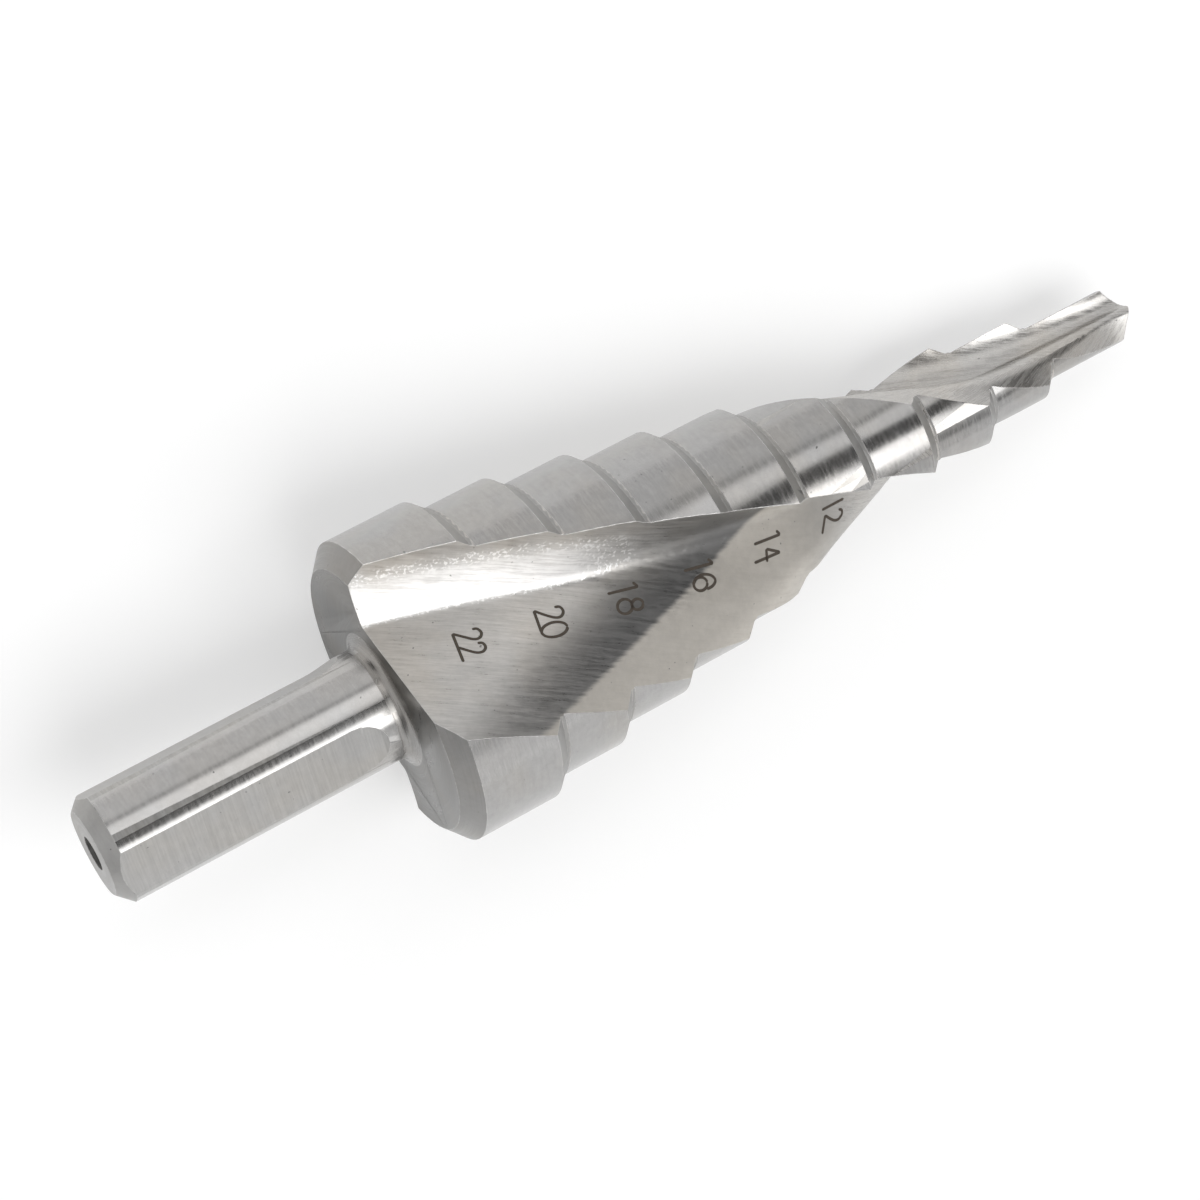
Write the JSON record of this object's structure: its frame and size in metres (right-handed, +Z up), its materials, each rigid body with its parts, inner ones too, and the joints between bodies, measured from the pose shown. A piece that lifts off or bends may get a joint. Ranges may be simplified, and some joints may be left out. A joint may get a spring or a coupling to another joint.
{
  "type": "step drill",
  "caption": "Stepped conical drill bit with twisted flutes, a drill point and a round shank with drive flats, lying on its side.",
  "frame": {"origin": "middle of the bounding box in plan, at the floor the drill lies on", "axes": "+Z up; the drill lies with its point towards +X and its axis in the XZ plane, the point end 5.5 degrees lower"},
  "size_m": [0.0824, 0.022, 0.0202],
  "materials": {
    "steel": "bare ground steel, turned steps, brushed flutes"
  },
  "bodies": {
    "root": {"step_drill": "steel"}
  },
  "joints": []
}
